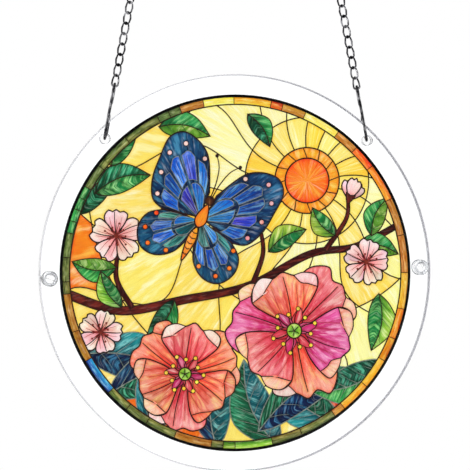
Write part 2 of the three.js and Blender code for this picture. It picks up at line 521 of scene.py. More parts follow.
def addTorus(look, radius):
    # stands upright and faces the front
    selectNothing()
    bpy.ops.mesh.primitive_torus_add(
        major_segments=look["steps"], minor_segments=look["sides"],
        major_radius=radius, minor_radius=look["wire"] / 2, rotation=(math.pi / 2, 0, 0),
    )
    applyAll(bpy.context.object)
    return bpy.context.object


def makeLink():
    # a torus whose two ends are drawn apart
    halfWidth = (chain["width"] - chain["wire"]) / 2
    link = addTorus(chain, halfWidth)
    for end in (-1, 1):
        bpy.ops.object.mode_set(mode="EDIT")
        bpy.ops.mesh.select_mode(type="VERT")
        bpy.ops.mesh.select_all(action="DESELECT")
        bpy.ops.object.mode_set(mode="OBJECT")
        for vertex in link.data.vertices:
            vertex.select = end * vertex.co.z > 1e-6
        bpy.ops.object.mode_set(mode="EDIT")
        bpy.ops.transform.translate(value=(0, 0, end * (linkReach - halfWidth)))
        bpy.ops.object.mode_set(mode="OBJECT")
    return link


def twistLink(link, low, high):
    # turns one end against the other, round the chain's own line
    places = np.empty(3 * len(link.data.vertices))
    link.data.vertices.foreach_get("co", places)
    x, y, z = places.reshape(-1, 3).T
    turn = low + (high - low) * (z / linkReach + 1) / 2
    turned = [x * np.cos(turn) - y * np.sin(turn), x * np.sin(turn) + y * np.cos(turn), z]
    link.data.vertices.foreach_set("co", np.stack(turned, 1).ravel())
    link.data.update()


def makeChain(side, word):
    first = hook["rise"] - (hook["wire"] + chain["wire"]) / 2 - chain["seat"] + linkReach
    last = chain["count"] - 1
    pattern = makeLink()
    links = []
    for i in range(chain["count"]):
        link = addObject("link", pattern.data.copy())
        drift = chain["drift"] * math.sin(math.pi * i / last) ** 0.6
        low, high = drift - chain["twist"] / 2, drift + chain["twist"] / 2
        if i == 0:
            low = hook["turn"]
        if i == last:
            low, high = low + math.pi, math.pi / 2
        twistLink(link, low, high)
        link.location = (0, 0, first + i * chain["pitch"])
        links.append(link)
    bpy.data.objects.remove(pattern)
    selectNothing()
    for link in links:
        link.select_set(True)
    bpy.context.view_layer.objects.active = links[0]
    bpy.ops.object.transform_apply(location=True, rotation=True, scale=True)
    bpy.ops.object.join()
    whole = bpy.context.object
    whole.name = "chain" + word.capitalize()
    leaning(whole, side)
    bpy.ops.object.shade_smooth()
    finishPiece(whole, "chain_" + word, "plated_wire", glintedPlatedWire)


def makeRing():
    loop = addTorus(ring, (ring["eye"] + ring["wire"]) / 2)
    loop.name = "hangingRing"
    loop.location = ringCentre
    applyAll(loop)
    bpy.ops.object.shade_smooth()
    finishPiece(loop, "hanging_ring", "plated_wire", glintedPlatedWire)


for side, word in ((-1, "left"), (1, "right")):
    makeHook(side, word)
    makeChain(side, word)
makeRing()
print("hooks, chains and ring made")


# the printed picture: panes of coloured glass between lead lines, drawn flat in millimetres
# u runs right and v up from the film's middle; later panes lie over earlier ones

picture = {
    "radius": filmRadius / mm,
    "blackRing": 1.1,  # widths
    "border": 2.4,
    "innerLine": 0.5,
    "lead": 0.54,
    "spacing": 0.9,  # between points along an outline
    "grid": 1.8,  # between points inside a pane
    "inset": 0.8,  # of the extra points along a pane's inner side
    "drift": 0.08,  # how far panes of one glass differ
    "skyDrift": 0.03,
    "brightest": 0.96,
    "seed": 11,
}
borderRadius = picture["radius"] - picture["blackRing"]
lineRadius = borderRadius - picture["border"]
groundRadius = lineRadius - picture["innerLine"]
dice = random.Random(picture["seed"])
panes = []

# screen colours of each glass: at the root, halfway, at the tip, and its second streak
glassColours = {
    "cream": [(255, 251, 204), (255, 242, 158), (255, 247, 180), (255, 254, 226)],
    "straw": [(255, 238, 134), (255, 224, 92), (255, 234, 124), (255, 249, 194)],
    "gold": [(255, 226, 84), (254, 200, 44), (250, 184, 30), (255, 240, 130)],
    "amber": [(255, 190, 40), (252, 158, 14), (240, 128, 10), (255, 214, 90)],
    "orange": [(255, 150, 24), (246, 104, 16), (226, 70, 14), (255, 190, 70)],
    "coral": [(236, 60, 50), (246, 120, 96), (252, 176, 150), (255, 214, 130)],
    "rose": [(214, 24, 50), (238, 84, 104), (250, 160, 160), (255, 206, 190)],
    "blush": [(240, 110, 80), (250, 176, 150), (255, 220, 196), (255, 232, 170)],
    "magenta": [(200, 20, 90), (228, 60, 140), (244, 130, 190), (255, 190, 220)],
    "shell": [(236, 140, 140), (250, 206, 200), (255, 234, 228), (255, 244, 236)],
    "leaf": [(10, 110, 50), (30, 160, 84), (90, 200, 110), (170, 240, 150)],
    "spring": [(70, 150, 40), (140, 200, 60), (200, 226, 90), (240, 250, 170)],
    "deepGreen": [(6, 62, 44), (12, 100, 66), (30, 140, 90), (90, 210, 160)],
    "teal": [(4, 80, 92), (10, 130, 136), (50, 190, 186), (150, 240, 230)],
    "navy": [(6, 20, 58), (12, 44, 96), (20, 86, 132), (70, 150, 190)],
    "royal": [(60, 190, 230), (16, 116, 214), (14, 60, 160), (150, 230, 250)],
    "azure": [(120, 220, 250), (36, 156, 236), (18, 92, 204), (206, 246, 255)],
    "violet": [(50, 40, 160), (76, 80, 216), (70, 150, 230), (190, 190, 255)],
    "bark": [(84, 14, 10), (104, 26, 18), (70, 12, 12), (160, 50, 36)],
    "umber": [(120, 66, 30), (94, 44, 24), (64, 28, 18), (190, 120, 60)],
    "olive": [(156, 152, 70), (122, 140, 66), (100, 120, 60), (196, 190, 110)],
    "honey": [(214, 150, 44), (198, 128, 34), (222, 168, 60), (244, 206, 120)],
    "moss": [(120, 140, 70), (140, 160, 88), (104, 124, 58), (180, 190, 120)],
}


def polar(centre, radius, angle):
    return (centre[0] + radius * math.cos(angle), centre[1] + radius * math.sin(angle))


def around(centre, axis, steps):
    # places given by how far they lie from a centre, and how far off an angle
    return [polar(centre, far, axis + turn) for far, turn in steps]


def heading(axis):
    # unit steps along an angle and to its left
    ahead = np.array([math.cos(axis), math.sin(axis)])
    return ahead, np.array([-ahead[1], ahead[0]])


def unit(steps):
    return steps / np.maximum(np.linalg.norm(steps, axis=1, keepdims=True), 1e-9)


def curve(points, closed=False):
    # an even run of points on the smooth curve through a few
    p = np.array(points, float)
    p = np.vstack([p[-1:], p, p[:2]] if closed else [p[:1], p, p[-1:]])
    run = []
    for a, b, c, d in zip(p, p[1:], p[2:], p[3:]):
        steps = max(2, int(np.linalg.norm(c - b) / picture["spacing"]))
        for t in np.arange(steps) / steps:
            square = (2 * a - 5 * b + 4 * c - d) * t * t
            run.append(0.5 * (2 * b + (c - a) * t + square + (3 * b - a - 3 * c + d) * t ** 3))
    return np.array(run if closed else run + [p[-1]])


def circle(centre, radius, spacing=picture["spacing"]):
    count = max(12, int(2 * math.pi * radius / spacing))
    turn = 2 * np.pi * np.arange(count) / count
    return np.stack([centre[0] + radius * np.cos(turn), centre[1] + radius * np.sin(turn)], 1)


def counterclockwise(outline):
    outline = np.array(outline, float)
    x, y = outline[:, 0], outline[:, 1]
    area = (x * np.roll(y, -1) - y * np.roll(x, -1)).sum()
    return outline if area > 0 else outline[::-1]


def grow(outline, by):
    # moves a counterclockwise outline out, or in where by is negative
    ahead = unit(np.roll(outline, -1, 0) - outline)
    normal = np.stack([ahead[:, 1], -ahead[:, 0]], 1)
    before = np.roll(normal, 1, 0)
    bend = np.maximum(1 + (normal * before).sum(1, keepdims=True), 0.4)
    return outline + (normal + before) / bend * by


def strip(path, start, end):
    # the outline of a stroke that runs from one width to another
    path = np.array(path, float)
    ahead = unit(np.gradient(path, axis=0))
    aside = np.stack([-ahead[:, 1], ahead[:, 0]], 1)
    half = np.linspace(start, end, len(path))[:, None] / 2
    return counterclockwise(np.vstack([path - aside * half, (path + aside * half)[::-1]]))


# grains: how far along and across the streaks a point lies, and how far from root to tip

def fan(root, axis, reach):
    def read(p):
        d = p - np.array(root)
        away = np.hypot(d[:, 0], d[:, 1])
        turn = np.arctan2(d[:, 1], d[:, 0]) - axis
        turn = np.arctan2(np.sin(turn), np.cos(turn))
        return away, turn * reach * 0.6, away / reach
    return read


def rounded(p):
    # runs round the border, and reads its width as root to tip
    away = np.hypot(p[:, 0], p[:, 1])
    turn = np.arctan2(p[:, 1], p[:, 0])
    return turn * lineRadius, away, (away - lineRadius) / picture["border"]


def straight(root, axis, reach):
    ahead, aside = heading(axis)

    def read(p):
        d = p - np.array(root)
        return d @ ahead, d @ aside, d @ ahead / reach
    return read


def feather(root, axis, reach):
    # side veins that leave a midrib
    ahead, aside = heading(axis)

    def read(p):
        d = p - np.array(root)
        far, off = d @ ahead, np.abs(d @ aside)
        return off + 0.4 * far, far - 0.9 * off, 0.35 * far / reach + 2.2 * off / reach
    return read


upright = straight((0, 0), math.pi / 2, 60)


def addShape(outline, slot, colours="navy", grain=upright, cell=None, over=False):
    # the colours are a list of glasses, or their names in one text
    names = colours.split() if isinstance(colours, str) else colours
    panes.append({
        "outline": outline, "slot": slot, "over": over, "seed": dice.random(),
        "colours": [linear(glassColours[name]) for name in names], "grain": grain, "cell": cell,
    })


def addPane(outline, slot, colours, grain=upright, cell=None, lead="leadDark", width=picture["lead"]):
    # a piece of glass in its lead
    outline = counterclockwise(outline)
    addShape(grow(outline, width / 2), lead)
    addShape(grow(outline, -width / 2), slot, colours, grain, cell)


def addLine(path, start, end=None, slot="leadDark", over=False):
    addShape(strip(path, start, end or start), slot, over=over)


def within(root, axis, length, width):
    # reads a place as shares of a length and of a width
    ahead, aside = heading(axis)
    return lambda far, off: np.array(root) + ahead * far * length + aside * off * width


# motifs

leaf = {"bend": 0.12, "profile": ((0, 0), (0.15, 0.3), (0.42, 0.5), (0.72, 0.36), (1, 0)), "lead": 0.42}


def leafAt(root, axis, length, width, colours, lead, vein, thin, count):
    flat = within(root, axis, length, width)
    aside = heading(axis)[1]

    def place(far, off):
        return flat(far, off) + aside * leaf["bend"] * length * math.sin(math.pi * far)

    spine = curve([place(t, 0) for t in (0, 0.25, 0.5, 0.75, 1)])
    grain = feather(root, axis, length)
    for hand, colour in zip((1, -1), colours.split()):
        edge = curve([place(t, hand * w) for t, w in leaf["profile"]])
        outline = np.vstack([spine[:-1], edge[::-1][:-1]])
        addPane(outline, "leafGlass", colour, grain, lead=lead, width=leaf["lead"])
        for i in range(count):
            t = 0.14 + 0.56 * i / (count - 1)
            wide = 0.8 * float(np.interp(t + 0.15, *zip(*leaf["profile"])))
            side = [place(t, 0), place(t + 0.09, hand * 0.55 * wide), place(t + 0.15, hand * wide)]
            addLine(curve(side), thin, 0.1, vein)


def petalAt(root, axis, length, width, colours, rims, ruffle=0.05, veins=5, slot="petalGlass"):
    # a ruffled petal with tapering veins; its lip turns over in paler panes
    ahead, aside = heading(axis)
    place = within(root, axis, length, width)

    def wobble():
        return 1 + dice.uniform(-ruffle, ruffle)

    edge = [
        (0.16, -0.09), (0.4, -0.32), (0.64, -0.48 * wobble()), (0.84, -0.5 * wobble()),
        (0.96 * wobble(), -0.34), (0.93, -0.19), (1.03 * wobble(), -0.03), (0.96, 0.13),
        (1.02 * wobble(), 0.3), (0.87, 0.47 * wobble()), (0.64, 0.5 * wobble()), (0.4, 0.33), (0.16, 0.09),
    ]
    points = [place(*q) for q in edge]
    crease = dice.uniform(-0.12, 0.12)

    def cell(p):
        d = p - np.array(root)
        far, off = d @ ahead / length, d @ aside / width
        return (off > crease * np.sin(far * 2.2) + 0.02).astype(int) + (off > 0.62 * far ** 1.4).astype(int)

    inside, lipColour = colours.split()
    addPane(curve([place(0, 0)] + points, True), slot, inside, fan(root, axis, length), cell)
    for i in range(veins):
        off = -0.36 + 0.72 * (i + 0.5) / veins + dice.uniform(-0.03, 0.03)
        reach = dice.uniform(0.66, 0.86)
        vein = [place(0.1, off * 0.25), place(0.4, off * 0.8), place(reach, off * 1.08)]
        addLine(curve(vein), 0.3, 0.1, "veinRose")
    if veins:
        split = [place(t, crease * math.sin(t * 2.2) + 0.02) for t in (0.08, 0.3, 0.5, 0.7, 0.95)]
        addLine(curve(split), 0.44, 0.34)
    for first, bulge in ((2, -0.3), (7, 0.27))[:rims]:
        lip = points[first:first + 4]
        inner = [place(0.8 * wobble(), bulge * 0.9), place(0.74, bulge * 1.18)]
        outline = np.vstack([curve(lip)[:-1], curve([lip[-1]] + inner + [lip[0]])[:-1]])
        addPane(outline, slot, lipColour, fan(place(0.5, bulge), axis, length * 0.5), width=0.4)


def bigFlower(centre, radius, turn, schemes):
    for k in (0, 2, 4, 1, 3, 5):
        length = radius * (1.0 if k % 2 == 0 else 0.88)
        scheme = schemes[k % len(schemes)]
        petalAt(centre, turn + k * math.pi / 3, length, radius * 1.04, scheme, 1 + k % 2)
    for k in range(6):
        # the throat's dark star
        axis = turn + (k + 0.5) * math.pi / 3
        place = within(centre, axis, radius * 0.36, radius * 0.2)
        throat = curve([place(0, 0), place(0.45, -0.42), place(1, 0), place(0.45, 0.42)], True)
        colour = ("rose", "magenta")[k % 2]
        addPane(throat, "petalGlass", colour, fan(centre, axis, radius * 0.6), width=0.32)
    for i in range(12):
        axis = turn + i * math.pi / 6 + 0.1
        reach = radius * (0.34 if i % 2 else 0.26)
        stem = around(centre, axis, ((1.2, 0), (reach * 0.6, 0.12), (reach, 0)))
        addLine(curve(stem), 0.5, 0.36)
        addPane(circle(stem[-1], 0.8, 0.5), "amberGlass", "gold", width=0.3)
    addPane(circle(centre, radius * 0.115), "leafGlass", "spring", fan(centre, 0, radius * 0.115))
    for i in range(5):
        addLine(curve([centre, polar(centre, radius * 0.09, turn + i * 2 * math.pi / 5)]), 0.34)


def blossomAt(centre, radius, turn):
    for k in range(5):
        axis = turn + k * 2 * math.pi / 5
        petalAt(centre, axis, radius, radius * 0.92, "shell shell", 0, 0.03, 3, "blossomGlass")
    for k in range(9):
        axis = turn + 0.3 + k * 2 * math.pi / 9
        reach = radius * (0.5 if k % 2 else 0.36)
        stamen = [centre] + around(centre, axis, ((reach * 0.6, 0.1), (reach, 0)))
        addLine(curve(stamen), 0.34, 0.22, "stamenRed")
        addShape(circle(stamen[-1], 0.42, 0.4), "stamenRed")
    addShape(circle(centre, radius * 0.09, 0.4), "stamenRed")


def budAt(root, axis, length):
    for off, share in ((-0.22, 0.9), (0.22, 0.9), (0, 1)):
        long, wide = length * share, length * 0.6
        petalAt(root, axis + off * 1.4, long, wide, "shell rose", 0, 0.02, 0, "blossomGlass")
    far = length * 0.4
    cup = around(root, axis, ((length * 0.1, math.pi), (far, 0.55), (length * 0.28, 0), (far, -0.55)))
    addPane(curve(cup, True), "barkGlass", "bark", width=0.4)


def branchAlong(points, start, end):
    path = curve(points)
    across, up = path[-1] - path[0]
    grain = straight(points[0], math.atan2(up, across), 60)
    addPane(strip(path, start, end), "barkGlass", "bark", grain, width=0.42)


def wing(root, axis, hand, reach, angles, colours, margin):
    # one wing, drawn in rings of cells between its veins
    turns = np.array([a for a, r in reach]) * math.pi / 180
    radii = np.array([r for a, r in reach])

    def place(share, turn):
        far = share * np.interp(turn, turns, radii)
        return polar(root, far, axis - hand * turn)

    middleTurn = (turns[0] + turns[-1]) / 2
    lean = axis - hand * middleTurn
    rim = curve([place(1, t) for t in turns])
    addPane(np.vstack([[place(0.04, middleTurn)], rim]), "blueGlass", "navy", fan(root, lean, radii.max()))
    veins = [math.radians(a) for a in angles]
    for low, high, step in ((0.10, 0.44, 2), (0.47, 0.80, 1)):
        for a, b in zip(veins[:-1:step], veins[step::step]):
            gap = 0.5 / (np.interp((a + b) / 2, turns, radii) * (low + high) / 2)
            a, b = a + gap, b - gap
            shares = (0.0, 0.25, 0.5, 0.75, 1.0)
            outer = [place(high * (1 - 0.05 * abs(2 * t - 1)), a + (b - a) * t) for t in shares]
            inner = [place(low, b), place(low, (a + b) / 2), place(low, a)]
            addPane(
                np.vstack([curve(outer), curve(inner)]), "blueGlass", dice.choice(colours),
                fan(root, lean, radii.max() * 0.85), lead="leadGrey", width=0.26,
            )
            for share in (0.33, 0.66):
                turn = a + (b - a) * share
                vein = [place(low + 0.03, turn), place((low + high) / 2, turn), place(high * 0.93, turn)]
                addLine(curve(vein), 0.2, 0.12)
    for a, b in zip(veins[:-1], veins[1:]):
        addPane(circle(place(0.885, (a + b) / 2), 0.95, 0.5), "amberGlass", margin, width=0.3)


# each wing by degrees from the head and reach
foreWing = [(8, 11), (20, 25), (34, 33), (46, 33.5), (60, 28), (76, 24), (92, 20), (100, 15)]
hindWing = [(96, 12), (108, 20), (122, 24), (138, 25), (152, 22), (164, 16), (172, 8)]


def butterfly(centre, axis):
    for hand in (1, -1):
        wing(centre, axis, hand, hindWing, (99, 115, 131, 147, 166), ("royal", "azure", "teal"), "orange")
        colours = ("azure", "royal", "violet", "royal")
        wing(centre, axis, hand, foreWing, (14, 30, 44, 58, 74, 96), colours, "shell")
    behind = axis + math.pi
    waist, belly, tail = (polar(centre, far, behind) for far in (3, 8, 17))
    neck = polar(centre, 6.5, axis)
    aside = heading(axis)[1]

    def beside(point, off):
        return (point[0] + aside[0] * off, point[1] + aside[1] * off)

    abdomen = curve([waist, beside(belly, 1.7), tail, beside(belly, -1.7)], True)
    addPane(abdomen, "amberGlass", "amber", straight(waist, behind, 14))
    for i in range(5):
        at = polar(centre, 5 + 2.2 * i, behind)
        reach = 1.5 - 0.2 * i
        addLine(curve([beside(at, reach), polar(at, 0.5, behind), beside(at, -reach)]), 0.4)
    thorax = curve([neck, beside(centre, 2.3), waist, beside(centre, -2.3)], True)
    addPane(thorax, "amberGlass", "orange", straight(neck, axis, 10))
    addPane(circle(polar(centre, 8, axis), 1.7), "barkGlass", "umber")
    for hand in (1, -1):
        steps = ((9, 0.03), (15, 0.05), (21, 0.11), (25, 0.2))
        feeler = around(centre, axis, [(far, hand * turn) for far, turn in steps])
        addLine(curve(feeler), 0.5, 0.4)
        addShape(circle(feeler[-1], 0.7, 0.4), "leadDark")


sun = {
    "centre": (27.0, 35.0), "radius": 8.5, "halo": 4, "rays": 17, "reach": 104, "wave": 0.13,
    "bands": (24.0, 52.0, 84.0),
}
# the glasses that each band of the sky may draw
skyBands = [
    "straw gold straw", "cream cream straw", "cream straw cream straw", "amber gold straw orange",
]


def sunWave(away):
    return sun["wave"] * np.sin(away / 9.0)


def skyCell(p):
    d = p - np.array(sun["centre"])
    away = np.hypot(d[:, 0], d[:, 1])
    turn = np.arctan2(d[:, 1], d[:, 0]) - sunWave(away)
    sector = np.floor((turn % (2 * np.pi)) / (2 * np.pi) * sun["rays"]).astype(int)
    band = np.searchsorted(np.array(sun["bands"]), away)
    return sector * len(skyBands) + band


def drawSky():
    centre, radius, halo = sun["centre"], sun["radius"], sun["radius"] + sun["halo"]
    order = [dice.choice(names.split()) for sector in range(sun["rays"]) for names in skyBands]
    addShape(circle((0, 0), groundRadius), "skyGlass", order, fan(centre, 0, 95), skyCell)
    for i in range(sun["rays"]):
        base = 2 * math.pi * i / sun["rays"]
        steps = np.linspace(radius, sun["reach"], 46)
        addLine(around(centre, base, [(r, float(sunWave(r))) for r in steps]), 0.48)
    for band in sun["bands"]:
        addLine(np.vstack([circle(centre, band), [polar(centre, band, 0)]]), 0.48)
    addPane(circle(centre, halo), "amberGlass", "gold", fan(centre, 0, 12))
    for i in range(12):
        base = 2 * math.pi * i / 12
        addLine(around(centre, base, ((radius, 0), (halo, 0.12))), 0.4)
    addPane(circle(centre, radius), "amberGlass", "orange", fan(centre, 0, 14))


# the glasses of the border, by the angle in degrees up to which each zone runs
borderZones = [
    (110, "honey amber gold straw amber honey orange"),
    (205, "moss olive honey leaf moss"),
    # royal, teal and violet here are a painted reflection, cool glints on the border; olive and moss are its
    # own glass
    (235, "royal teal olive violet moss"),
    (300, "olive spring moss honey olive"),
    (361, "honey amber olive gold"),
]
borderSteps = (0.07, 0.14, 0.18, 0.22)  # radians that one pane may take


def drawBorder():
    turns = [0.0]
    while turns[-1] < 2 * math.pi - 0.3:
        turns.append(turns[-1] + dice.choice(borderSteps))
    edges = np.array(turns)

    def cell(p):
        turn = np.arctan2(p[:, 1], p[:, 0]) % (2 * np.pi)
        return np.searchsorted(edges, turn, side="right") - 1

    order = []
    for low, high in zip(edges, np.append(edges[1:], 2 * math.pi)):
        at = math.degrees((low + high) / 2)
        order.append(dice.choice(next(names.split() for end, names in borderZones if at < end)))
    addShape(circle((0, 0), picture["radius"], 1.4), "blackRing", over=True)
    addShape(circle((0, 0), borderRadius), "borderGlass", order, rounded, cell, True)
    for turn in edges:
        addLine(around((0, 0), turn, ((lineRadius, 0), (borderRadius, 0))), 0.3, over=True)
    addShape(circle((0, 0), lineRadius), "leadDark", over=True)


# where each leaf starts, its angle in degrees, length, width and two glasses
waterLeaves = [
    ((-58, -30), -18, 40, 18, "teal navy"), ((-50, -46), 12, 44, 17, "navy deepGreen"),
    ((-34, -62), 62, 42, 18, "teal navy"), ((-8, -66), 84, 34, 16, "navy teal"),
    ((16, -66), 112, 36, 17, "deepGreen teal"), ((40, -58), 138, 36, 17, "teal deepGreen"),
    ((8, -60), 30, 46, 15, "deepGreen navy"), ((58, -34), 200, 32, 15, "leaf deepGreen"),
]
greenLeaves = [
    ((-46, 2), 172, 17, 9, "leaf spring"), ((-44, -13), 120, 16, 8, "spring leaf"),
    ((-24, -10), 232, 17, 9, "leaf deepGreen"), ((12, 8), 30, 17, 9, "spring leaf"),
    ((46, 10), 350, 17, 9, "leaf spring"), ((38, 14), 130, 14, 8, "spring leaf"),
    ((52, 14), 66, 16, 8.5, "leaf spring"), ((-60, 22), 48, 24, 12, "leaf deepGreen"),
    ((-54, 30), 18, 22, 11, "deepGreen leaf"), ((-48, 40), 58, 20, 11, "spring leaf"),
    ((-30, 55), 350, 20, 10, "leaf spring"), ((55, -8), 262, 22, 11, "spring leaf"),
    ((4, 60), 305, 15, 8, "leaf deepGreen"),
]
# each branch by the points it runs through, and its width at both ends
branches = [
    ([(-64, -8), (-44, -14), (-20, -10), (4, -5), (28, 7), (46, 10), (64, 19)], 3.4, 2.2),
    ([(-40, -13), (-46, -2), (-45, 10)], 2.0, 1.2),
    ([(34, 8.5), (42, 20), (43, 27)], 1.9, 1.1),
    ([(6, -4), (10, 8), (8, 20)], 1.8, 1.0),
]


def drawPicture():
    deg = math.radians
    drawBorder()
    drawSky()
    for at, axis, length, width, pair in waterLeaves:
        leafAt(at, deg(axis), length, width, pair, "leadGrey", "leadGrey", 0.24, 5)
    for points, start, end in branches:
        branchAlong(points, start, end)
    for at, axis, length, width, pair in greenLeaves:
        leafAt(at, deg(axis), length, width, pair, "leadDark", "veinGreen", 0.3, 3)
    budAt((9, 20), deg(96), 8)
    budAt((43, 27), deg(70), 9)
    blossomAt((-46, 14), 9.5, deg(20))
    blossomAt((50, 4), 8.5, deg(80))
    blossomAt((-52, -22), 8, deg(0))
    butterfly((-14, 20), deg(64))
    bigFlower((-20, -38), 21, deg(20), ["coral blush", "rose shell", "coral coral"])
    bigFlower((22, -22), 25, deg(44), ["rose blush", "coral shell", "magenta blush"])
    print("picture drawn:", len(panes), "shapes")


def insideOutline(points, outline):
    x, y = points[:, 0:1], points[:, 1:2]
    ax, ay = outline[:, 0][None], outline[:, 1][None]
    bx, by = np.roll(outline[:, 0], -1)[None], np.roll(outline[:, 1], -1)[None]
    crosses = (ay > y) != (by > y)
    with np.errstate(divide="ignore", invalid="ignore"):
        hit = x < (bx - ax) * (y - ay) / (by - ay) + ax
    return (crosses & hit).sum(1) % 2 == 1


def insetPoints(outline):
    # extra points just inside an outline, so that the glass can deepen towards its lead
    inner = grow(outline, -picture["inset"])[::2]
    gap = np.linalg.norm(inner[:, None] - outline[None], axis=2).min(1)
    return inner[insideOutline(inner, outline) & (gap > 0.75 * picture["inset"])]


def cutIntoTriangles():
    points, edges = [], []
    for shape in panes:
        first = len(points)
        count = len(shape["outline"])
        points.extend(map(tuple, shape["outline"]))
        edges.extend((first + i, first + (i + 1) % count) for i in range(count))
    for shape in panes:
        if shape["slot"] in glassLooks:
            extra = insetPoints(shape["outline"])
            inField = shape["over"] | (np.hypot(extra[:, 0], extra[:, 1]) < groundRadius)
            points.extend(map(tuple, extra[inField]))
    step = picture["grid"]
    reach = int(picture["radius"] / step) + 1
    for row in range(-reach, reach + 1):
        for column in range(-reach, reach + 1):
            u, v = (column + 0.5 * (row % 2)) * step, row * step * 0.866
            if math.hypot(u, v) < borderRadius:
                points.append((u, v))
    result = delaunay_2d_cdt([Vector(p) for p in points], edges, [], 0, 1e-4)
    corners = np.array([tuple(p) for p in result[0]])
    triangles = np.array([f for f in result[2] if len(f) == 3])
    keep = insideOutline(corners[triangles].mean(1), panes[0]["outline"])
    return corners, triangles[keep]


def ownersOf(middles):
    # the topmost shape over each triangle
    away = np.hypot(middles[:, 0], middles[:, 1])
    owner = np.zeros(len(middles), int)
    for index, shape in enumerate(panes):
        outline = shape["outline"]
        near = np.all((middles >= outline.min(0)) & (middles <= outline.max(0)), 1)
        if not shape["over"]:
            near &= away < groundRadius
        rows = np.nonzero(near)[0]
        owner[rows[insideOutline(middles[rows], outline)]] = index
    return owner


def sidesOf(triangles):
    return np.concatenate([triangles[:, [0, 1]], triangles[:, [1, 2]], triangles[:, [2, 0]]])


def edgeDistance(corners, triangles, owner):
    # how far each point lies from the nearest edge between two shapes
    sides = np.sort(sidesOf(triangles), 1)
    whose = np.tile(owner, 3)
    order = np.lexsort((sides[:, 1], sides[:, 0]))
    sides, whose = sides[order], whose[order]
    within = np.zeros(len(sides), bool)
    match = np.all(sides[1:] == sides[:-1], 1) & (whose[1:] == whose[:-1])
    within[1:] |= match
    within[:-1] |= match
    ends = corners[sides[~within]]
    marks = np.concatenate([ends[:, 0], ends[:, 1], ends.mean(1)])
    tree = KDTree(len(marks))
    for i, (x, y) in enumerate(marks):
        tree.insert((x, y, 0), i)
    tree.balance()
    return np.array([tree.find((x, y, 0))[2] for x, y in corners])


def gradient(stops, share):
    share = np.clip(share, 0, 1)[:, None] * (len(stops) - 1)
    low = np.minimum(share.astype(int), len(stops) - 2)
    part = share - low
    return stops[low[:, 0]] * (1 - part) + stops[low[:, 0] + 1] * part


def paintShape(shape, places, middles):
    # the two colours and the grain of a shape at its triangles' corners
    along, across, share = shape["grain"](places)
    cells = np.zeros(len(middles), int) if shape["cell"] is None else shape["cell"](middles)
    each = np.repeat(cells, 3)
    tint, accent = np.zeros((len(places), 3)), np.zeros((len(places), 3))
    drift = picture["skyDrift" if shape["slot"] == "skyGlass" else "drift"]
    for cell in np.unique(cells):
        part = each == cell
        own = random.Random(int(shape["seed"] * 1e6) + int(cell) * 7)
        tone = np.array([own.uniform(1 - drift, 1 + drift) for i in range(3)])
        tone *= own.uniform(1 - 1.3 * drift, 1 + drift)
        stops = shape["colours"][int(cell) % len(shape["colours"])]
        tint[part] = gradient(stops[:3], share[part]) * tone
        accent[part] = stops[3] * tone
    grain = np.stack([along, across, shape["seed"] * 50 + each * 3.7], 1)
    return np.minimum(tint, picture["brightest"]), np.minimum(accent, picture["brightest"]), grain


def makeFilm(materials):
    corners, triangles = cutIntoTriangles()
    middles = corners[triangles].mean(1)
    owner = ownersOf(middles)
    used, triangles = np.unique(triangles, return_inverse=True)
    triangles = triangles.reshape(-1, 3)
    corners = corners[used]
    a, b, c = (corners[triangles[:, i]] for i in range(3))
    turned = np.cross(b - a, c - a) < 0
    triangles[turned] = triangles[turned][:, ::-1]
    count, faces = len(corners), len(triangles)
    values = {name: np.zeros((faces, 3, 3)) for name in ("paneColour", "paneAccent", "paneGrain")}
    slotNames = list(materials)
    slots = np.zeros(faces, int)
    for index in np.unique(owner):
        rows = np.nonzero(owner == index)[0]
        parts = paintShape(panes[index], corners[triangles[rows]].reshape(-1, 2), middles[rows])
        for name, part in zip(values, parts):
            values[name][rows] = part.reshape(-1, 3, 3)
        slots[rows] = slotNames.index(panes[index]["slot"])
    # front face, back face and the rim between them
    vertices = np.zeros((2 * count, 3))
    vertices[:, 0] = np.tile(corners[:, 0], 2) * mm
    vertices[:count, 1], vertices[count:, 1] = filmLow.y, filmHigh.y
    vertices[:, 2] = np.tile(corners[:, 1], 2) * mm + discCentre.z
    owned = {(int(i), int(j)) for i, j in sidesOf(triangles)}
    rimEdges = sorted((i, j) for i, j in owned if (j, i) not in owned)
    polygons = triangles.tolist() + (triangles[:, ::-1] + count).tolist()
    polygons += [(j, i, i + count, j + count) for i, j in rimEdges]
    mesh = bpy.data.meshes.new("pictureFilm")
    mesh.from_pydata(vertices.tolist(), [], polygons)
    film = addObject("pictureFilm", mesh)
    finishPiece(film, "picture_film", "printed_film", *materials.values())
    rimSlots = np.full(len(rimEdges), slotNames.index("blackRing"))
    mesh.polygons.foreach_set("material_index", np.concatenate([slots, slots, rimSlots]))
    for name, part in values.items():
        layer = mesh.attributes.new(name, "FLOAT_VECTOR", "CORNER")
        rim = np.zeros((len(rimEdges) * 4, 3))
        both = np.concatenate([part.reshape(-1, 3), part[:, ::-1].reshape(-1, 3), rim])
        layer.data.foreach_set("vector", both.ravel())
    layer = mesh.attributes.new("paneEdge", "FLOAT", "POINT")
    layer.data.foreach_set("value", np.tile(edgeDistance(corners, triangles, owner), 2))
    mesh.update()
    print("film made:", len(polygons), "faces")


# each kind of streak by its stretch along and across the grain, its detail, and the noise from which
# it starts and at which it is full
streakKinds = {
    "accent": ((0.10, 0.55, 1), 3, 0.47, 0.63),
    "deep": ((0.16, 1.15, 1), 4, 0.47, 0.66),
    "brush": ((0.25, 4.5, 1), 2, 0.35, 0.7),
    "wisp": ((0.13, 0.9, 1), 3, 0.52, 0.72),
}
brushTone = (0.84, 0.82, 0.80, 1)
milkTone = (1.0, 0.98, 0.93, 1)
leadReach = 1.15  # how far from its lead a glass deepens


